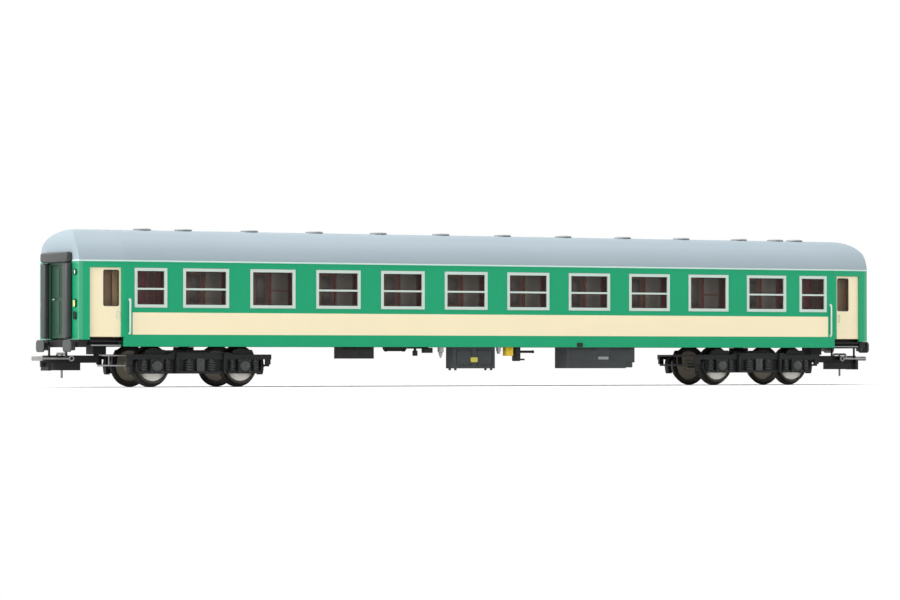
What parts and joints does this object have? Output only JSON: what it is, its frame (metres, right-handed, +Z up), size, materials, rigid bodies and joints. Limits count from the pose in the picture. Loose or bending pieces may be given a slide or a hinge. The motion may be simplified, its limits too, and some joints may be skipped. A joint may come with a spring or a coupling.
{
  "type": "scale model railway passenger coach",
  "caption": "H0 scale model of a two-bogie corridor coach: hollow body with glazed windows, grey roof, turning wheelsets, swivelling bogies, swinging couplers with lifting loops.",
  "frame": {"origin": "bottom centre of the coach, at the lowest point of the wheel flanges", "axes": "+X along the coach towards end b, +Y towards the compartment side, +Z up"},
  "size_m": [0.2928, 0.034, 0.0473],
  "materials": {
    "green_body": "satin paint on plastic",
    "grey_roof": "satin paint on plastic",
    "cream_doors": "satin paint on plastic",
    "silver_frames": "silver print on clear plastic",
    "clear_glazing": "clear injection-moulded plastic",
    "gangway_rubber": "dark grey matt",
    "end_door_green": "satin paint on plastic",
    "lamp_lens": "glossy",
    "black_plastic": "self-coloured moulding, slightly glossy edges",
    "spring_grey": "self-coloured moulding",
    "interior_brown": "self-coloured moulding",
    "seat_red": "self-coloured moulding",
    "ballast_steel": "bare rolled sheet",
    "yellow_plastic": "self-coloured moulding",
    "axle_steel": "dark steel",
    "wheel_metal": "bright turned metal",
    "loop_metal": "darkened metal"
  },
  "bodies": {
    "carbody": {"side_wall_corridor": "green_body", "side_wall_compartment": "green_body", "end_wall_a": "green_body", "end_wall_b": "green_body", "roof": "grey_roof", "roof_vents": "grey_roof", "glazing_corridor": "clear_glazing", "glazing_compartment": "clear_glazing", "window_frames_corridor": "silver_frames", "window_frames_compartment": "silver_frames", "entrance_doors": "cream_doors", "door_panes": "clear_glazing", "entrance_steps": "black_plastic", "door_handrails": "cream_doors", "gangway_a": "gangway_rubber", "gangway_b": "gangway_rubber", "end_door_a": "end_door_green", "end_door_b": "end_door_green", "end_lamps": "lamp_lens", "end_sockets": "black_plastic", "ballast_plate": "ballast_steel", "interior": "interior_brown", "seats": "seat_red", "underframe": "black_plastic", "buffers": "black_plastic", "brake_hoses": "black_plastic", "equipment_box": "black_plastic", "brake_valve": "yellow_plastic", "battery_box": "black_plastic", "converter_box": "black_plastic", "pipe_bracket": "black_plastic", "brake_cylinder": "black_plastic", "air_reservoir": "black_plastic"},
    "bogie_a": {"bogie_frame_a": "black_plastic", "bogie_springs_a": "spring_grey"},
    "wheelset_outer_a": {"axle_outer_a": "axle_steel", "wheels_outer_a": "wheel_metal"},
    "wheelset_inner_a": {"axle_inner_a": "axle_steel", "wheels_inner_a": "wheel_metal"},
    "coupler_a": {"coupler_a": "black_plastic"},
    "coupler_loop_a": {"coupler_loop_a": "loop_metal"},
    "bogie_b": {"bogie_frame_b": "black_plastic", "bogie_springs_b": "spring_grey"},
    "wheelset_outer_b": {"axle_outer_b": "axle_steel", "wheels_outer_b": "wheel_metal"},
    "wheelset_inner_b": {"axle_inner_b": "axle_steel", "wheels_inner_b": "wheel_metal"},
    "coupler_b": {"coupler_b": "black_plastic"},
    "coupler_loop_b": {"coupler_loop_b": "loop_metal"}
  },
  "joints": [
    {"name": "bogie_a_swivel", "type": "hinge", "parent": "carbody", "child": "bogie_a", "pos_m": [-0.09885, 0, 0.0119], "axis": [0, 0, 1], "range_deg": [-16, 16]},
    {"name": "wheelset_outer_a_spin", "type": "hinge", "parent": "bogie_a", "child": "wheelset_outer_a", "pos_m": [-0.1132, 0, 0.0063], "axis": [0, 1, 0], "continuous": true},
    {"name": "wheelset_inner_a_spin", "type": "hinge", "parent": "bogie_a", "child": "wheelset_inner_a", "pos_m": [-0.0845, 0, 0.0063], "axis": [0, 1, 0], "continuous": true},
    {"name": "coupler_a_swing", "type": "hinge", "parent": "carbody", "child": "coupler_a", "pos_m": [-0.1273, 0, 0.0083], "axis": [0, 0, 1], "range_deg": [-8, 8], "stiffness_Nm_per_rad": 0.0005},
    {"name": "coupler_loop_a_lift", "type": "hinge", "parent": "coupler_a", "child": "coupler_loop_a", "pos_m": [-0.1368, 0, 0.0085], "axis": [0, 1, 0], "range_deg": [0, 25]},
    {"name": "bogie_b_swivel", "type": "hinge", "parent": "carbody", "child": "bogie_b", "pos_m": [0.09885, 0, 0.0119], "axis": [0, 0, 1], "range_deg": [-16, 16]},
    {"name": "wheelset_outer_b_spin", "type": "hinge", "parent": "bogie_b", "child": "wheelset_outer_b", "pos_m": [0.1132, 0, 0.0063], "axis": [0, 1, 0], "continuous": true},
    {"name": "wheelset_inner_b_spin", "type": "hinge", "parent": "bogie_b", "child": "wheelset_inner_b", "pos_m": [0.0845, 0, 0.0063], "axis": [0, 1, 0], "continuous": true},
    {"name": "coupler_b_swing", "type": "hinge", "parent": "carbody", "child": "coupler_b", "pos_m": [0.1273, 0, 0.0083], "axis": [0, 0, 1], "range_deg": [-8, 8], "stiffness_Nm_per_rad": 0.0005},
    {"name": "coupler_loop_b_lift", "type": "hinge", "parent": "coupler_b", "child": "coupler_loop_b", "pos_m": [0.1368, 0, 0.0085], "axis": [0, -1, 0], "range_deg": [0, 25]}
  ]
}
